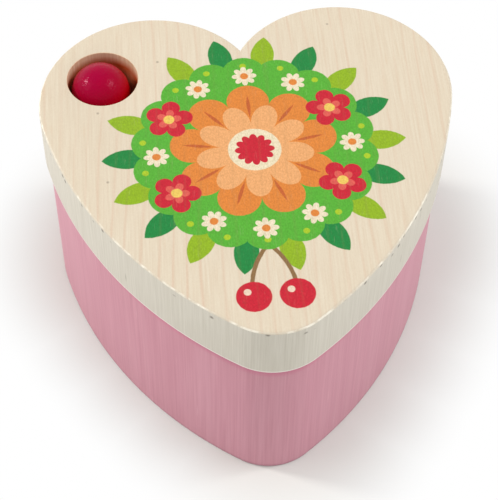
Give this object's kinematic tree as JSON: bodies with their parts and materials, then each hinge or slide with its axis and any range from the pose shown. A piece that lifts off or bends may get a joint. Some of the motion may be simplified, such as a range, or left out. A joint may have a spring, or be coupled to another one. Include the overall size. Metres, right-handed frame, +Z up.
{
  "type": "wind up music box",
  "caption": "Heart-shaped wooden wind up music box: a twist lid with a finger ball winds a pinned cylinder movement inside the body.",
  "frame": {"origin": "on the winding axis, in the plane that the box stands on", "axes": "+Z up along the winding axis, +Y towards the heart's notch, -Y towards its tip, +X to the right seen from the tip"},
  "size_m": [0.07, 0.0674, 0.0453],
  "materials": {
    "stained_wood": "satin stain",
    "natural_wood": "sanded, printed on top",
    "plywood": "sanded",
    "red_lacquer": "gloss lacquer",
    "brass": "turned",
    "steel": "satin",
    "spring_steel": "blued grey",
    "zinc_casting": "die cast",
    "lead": "dull",
    "white_nylon": "moulded"
  },
  "bodies": {
    "case": {"body_shell": "stained_wood", "base_cover": "plywood", "base_screws": "steel", "bedplate": "zinc_casting", "bedplate_screws": "steel", "spring_housing": "steel", "housing_cover": "steel", "housing_screws": "steel", "mainspring": "spring_steel", "comb": "steel", "comb_weights": "lead", "comb_screws": "steel", "end_bracket": "steel", "bracket_screws": "steel", "governor_frame": "zinc_casting"},
    "great_wheel": {"great_wheel": "brass", "clutch_spring": "spring_steel"},
    "lid": {"lid": "natural_wood", "lid_hub": "brass", "hub_screws": "steel", "winding_arbor": "steel"},
    "ball": {"finger_ball": "red_lacquer", "ball_screw": "steel"},
    "cylinder": {"cylinder_arbor": "steel", "drive_pinion": "brass", "tune_cylinder": "brass", "cylinder_caps": "brass", "cylinder_gear": "brass"},
    "intermediate": {"intermediate_arbor": "steel", "intermediate_pinion": "brass", "worm_wheel": "brass"},
    "governor": {"governor_worm": "steel", "governor_fan": "white_nylon"}
  },
  "joints": [
    {"name": "play_turn", "type": "hinge", "parent": "case", "child": "great_wheel", "pos_m": [0, 0, 0.0244], "axis": [0, 0, 1], "continuous": true},
    {"name": "lid_wind", "type": "hinge", "parent": "great_wheel", "child": "lid", "pos_m": [0, 0, 0.0319], "axis": [0, 0, -1], "range_deg": [0, 1440]},
    {"name": "ball_spin", "type": "hinge", "parent": "lid", "child": "ball", "pos_m": [-0.02448, 0.02052, 0.04025], "axis": [0, 0, 1], "continuous": true},
    {"name": "cylinder_spin", "type": "hinge", "parent": "case", "child": "cylinder", "pos_m": [0.00658, 0.00658, 0.01896], "axis": [0.7071, 0.7071, 0], "continuous": true},
    {"name": "intermediate_spin", "type": "hinge", "parent": "case", "child": "intermediate", "pos_m": [0.01348, 0.02075, 0.01283], "axis": [0.7071, 0.7071, 0], "continuous": true},
    {"name": "governor_spin", "type": "hinge", "parent": "case", "child": "governor", "pos_m": [0.0115, 0.02273, 0.01283], "axis": [0, 0, 1], "continuous": true}
  ],
  "couplings": [
    {"joint": "cylinder_spin", "follows": "play_turn", "ratio": -2.5},
    {"joint": "intermediate_spin", "follows": "play_turn", "ratio": 10.833},
    {"joint": "governor_spin", "follows": "play_turn", "ratio": -173.33}
  ]
}
